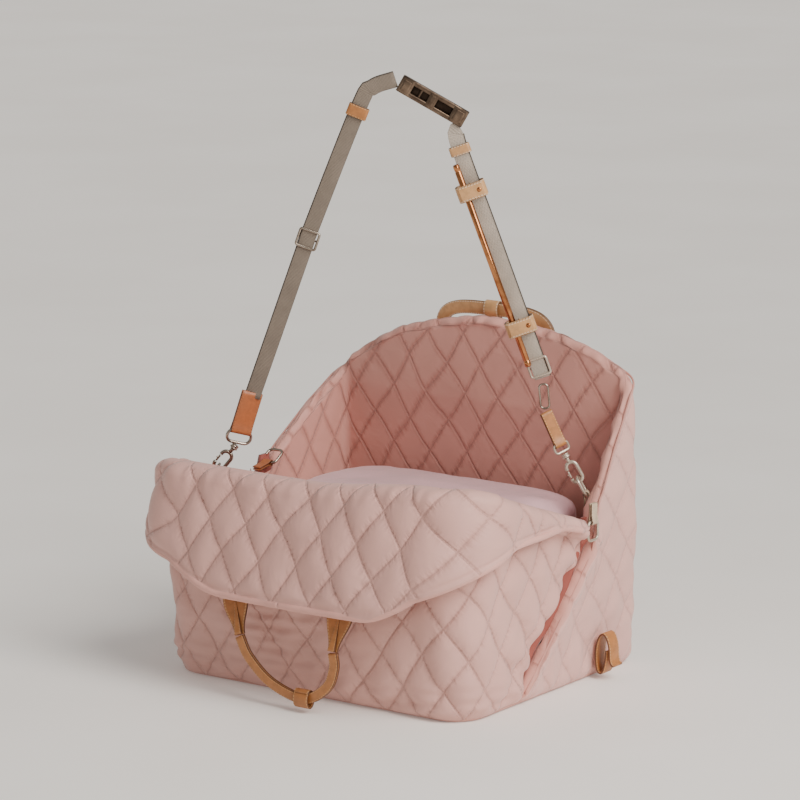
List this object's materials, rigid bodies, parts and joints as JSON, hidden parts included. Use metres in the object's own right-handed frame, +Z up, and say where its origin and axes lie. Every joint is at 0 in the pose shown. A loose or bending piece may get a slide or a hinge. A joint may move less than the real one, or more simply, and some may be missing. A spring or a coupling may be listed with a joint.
{
  "type": "quilted carrier tote",
  "caption": "Quilted soft carrier tote with an arched hood, fold-over front flap, raised seat cushion, padded leather carry handles and a clip-on strap.",
  "frame": {"origin": "on the floor, under the middle of the base outline", "axes": "+X to the right as seen from the front, +Y to the back, +Z up"},
  "size_m": [0.5057, 0.4575, 0.7267],
  "materials": {
    "quilted_fabric": "diamond-quilted padded fabric",
    "base_fabric": "plain woven fabric",
    "lining_fabric": "plain woven lining",
    "cushion_satin": "smooth satin",
    "foam": "foam in a thin cover",
    "base_board": "plain board",
    "tan_leather": "smooth vegetable-tanned leather with stitched edges",
    "strap_webbing": "woven webbing",
    "champagne_hardware": "polished pale champagne plating",
    "bronze_buckle": "polished dark bronze plating",
    "gilt_rod": "satin rose-gold plating"
  },
  "bodies": {
    "bag": {"base_panel": "base_fabric", "base_board": "base_board", "foam_riser": "foam", "front_wall": "quilted_fabric", "front_side_left": "quilted_fabric", "front_side_right": "quilted_fabric", "wing_right": "quilted_fabric", "back_wall": "quilted_fabric", "wing_left": "quilted_fabric", "gusset_left": "lining_fabric", "gusset_right": "lining_fabric", "front_roll": "quilted_fabric", "ring_tab_front_left": "tan_leather", "ring_tab_rear_right": "tan_leather", "ring_tab_rear_left": "tan_leather", "ring_tab_front_right": "tan_leather", "side_loop_left": "tan_leather", "side_loop_right": "tan_leather"},
    "seat": {"seat_cushion": "cushion_satin"},
    "hood": {"hood": "quilted_fabric", "back_handle_end_left": "tan_leather", "back_handle_end_right": "tan_leather"},
    "back_handle": {"back_handle_grip": "tan_leather", "back_handle_wrap": "tan_leather"},
    "flap": {"flap_center": "quilted_fabric", "front_handle_end_left": "tan_leather", "front_handle_end_right": "tan_leather"},
    "flap_right": {"flap_wing_right": "quilted_fabric"},
    "flap_left": {"flap_wing_left": "quilted_fabric"},
    "front_handle": {"front_handle_grip": "tan_leather", "front_handle_wrap": "tan_leather"},
    "ring_front_left_body": {"ring_front_left": "champagne_hardware"},
    "ring_rear_right_body": {"ring_rear_right": "champagne_hardware"},
    "ring_rear_left_body": {"ring_rear_left": "champagne_hardware"},
    "ring_front_right_body": {"ring_front_right": "champagne_hardware"},
    "strap": {"strap_hook_left": "champagne_hardware", "strap_swivel_left": "champagne_hardware", "strap_hook_right": "champagne_hardware", "strap_swivel_right": "champagne_hardware", "strap_dring_left": "champagne_hardware", "strap_leather_left": "tan_leather", "strap_dring_right": "champagne_hardware", "strap_leather_right": "tan_leather", "strap_webbing_left": "strap_webbing", "strap_buckle": "bronze_buckle", "strap_webbing_right": "strap_webbing", "strap_keeper_right": "tan_leather", "strap_rod": "gilt_rod", "rod_clamp_upper": "tan_leather", "rod_clamp_lower": "tan_leather", "strap_link": "champagne_hardware"},
    "gate_left": {"strap_gate_left": "champagne_hardware"},
    "gate_right": {"strap_gate_right": "champagne_hardware"},
    "slider_left": {"strap_slider_left": "champagne_hardware"},
    "keeper_left": {"strap_keeper_left": "tan_leather"},
    "slider_right": {"strap_slider_right": "champagne_hardware"}
  },
  "joints": [
    {"name": "flap_fold", "type": "hinge", "parent": "bag", "child": "flap", "pos_m": [0, -0.18, 0.262], "axis": [-1, 0, 0], "range_deg": [0, 140]},
    {"name": "flap_right_turn", "type": "hinge", "parent": "flap", "child": "flap_right", "pos_m": [0.176, -0.2322, 0.2], "axis": [0, 0, -1], "range_deg": [0, 84]},
    {"name": "flap_left_turn", "type": "hinge", "parent": "flap", "child": "flap_left", "pos_m": [-0.176, -0.2322, 0.2], "axis": [0, 0, 1], "range_deg": [0, 84]},
    {"name": "front_handle_swing", "type": "hinge", "parent": "flap", "child": "front_handle", "pos_m": [0.005, -0.238, 0.082], "axis": [-1, 0, 0], "range_deg": [-25, 100]},
    {"name": "hood_fold", "type": "hinge", "parent": "bag", "child": "hood", "pos_m": [0, 0.1895, 0.252], "axis": [-1, 0, 0], "range_deg": [0, 60]},
    {"name": "back_handle_swing", "type": "hinge", "parent": "hood", "child": "back_handle", "pos_m": [0.003, 0.2085, 0.347], "axis": [-1, 0, 0], "range_deg": [0, 170]},
    {"name": "seat_lift", "type": "slide", "parent": "bag", "child": "seat", "axis": [0, 0, 1], "range_m": [0, 0.03]},
    {"name": "ring_front_left_turn", "type": "hinge", "parent": "bag", "child": "ring_front_left_body", "pos_m": [-0.19204, -0.13354, 0.231], "axis": [0.5057, -0.8627, 0], "range_deg": [-4, 4]},
    {"name": "ring_rear_right_turn", "type": "hinge", "parent": "bag", "child": "ring_rear_right_body", "pos_m": [0.20214, 0.09749, 0.222], "axis": [0.5057, -0.8627, 0], "range_deg": [-4, 4]},
    {"name": "ring_rear_left_swing", "type": "hinge", "parent": "bag", "child": "ring_rear_left_body", "pos_m": [-0.201, -0.002, 0.227], "axis": [1, 0, 0], "range_deg": [0, 110]},
    {"name": "ring_front_right_swing", "type": "hinge", "parent": "bag", "child": "ring_front_right_body", "pos_m": [0.231, 0.068, 0.198], "axis": [0, -1, 0], "range_deg": [0, 100]},
    {"name": "strap_swing", "type": "hinge", "parent": "bag", "child": "strap", "pos_m": [-0.1793, -0.12607, 0.24889], "axis": [0.8626, 0.5056, -0.0152], "range_deg": [-25, 28]},
    {"name": "gate_left_open", "type": "hinge", "parent": "strap", "child": "gate_left", "pos_m": [-0.17852, -0.12561, 0.2602], "axis": [0.5057, -0.8627, 0], "range_deg": [0, 15], "stiffness_Nm_per_rad": 0.01},
    {"name": "gate_right_open", "type": "hinge", "parent": "strap", "child": "gate_right", "pos_m": [0.18377, 0.08673, 0.24741], "axis": [0.5057, -0.8627, 0], "range_deg": [0, 15], "stiffness_Nm_per_rad": 0.01},
    {"name": "slider_left_slide", "type": "slide", "parent": "strap", "child": "slider_left", "axis": [0.2851, 0.1671, 0.9438], "range_m": [-0.12, 0]},
    {"name": "keeper_left_slide", "type": "slide", "parent": "strap", "child": "keeper_left", "axis": [0.3166, 0.1856, 0.9302], "range_m": [-0.1, 0]},
    {"name": "slider_right_slide", "type": "slide", "parent": "strap", "child": "slider_right", "axis": [0.2958, 0.1734, -0.9394], "range_m": [-0.028, 0]}
  ],
  "couplings": [
    {"joint": "flap_right_turn", "follows": "flap_fold", "ratio": 0.6},
    {"joint": "flap_left_turn", "follows": "flap_fold", "ratio": 0.6}
  ]
}
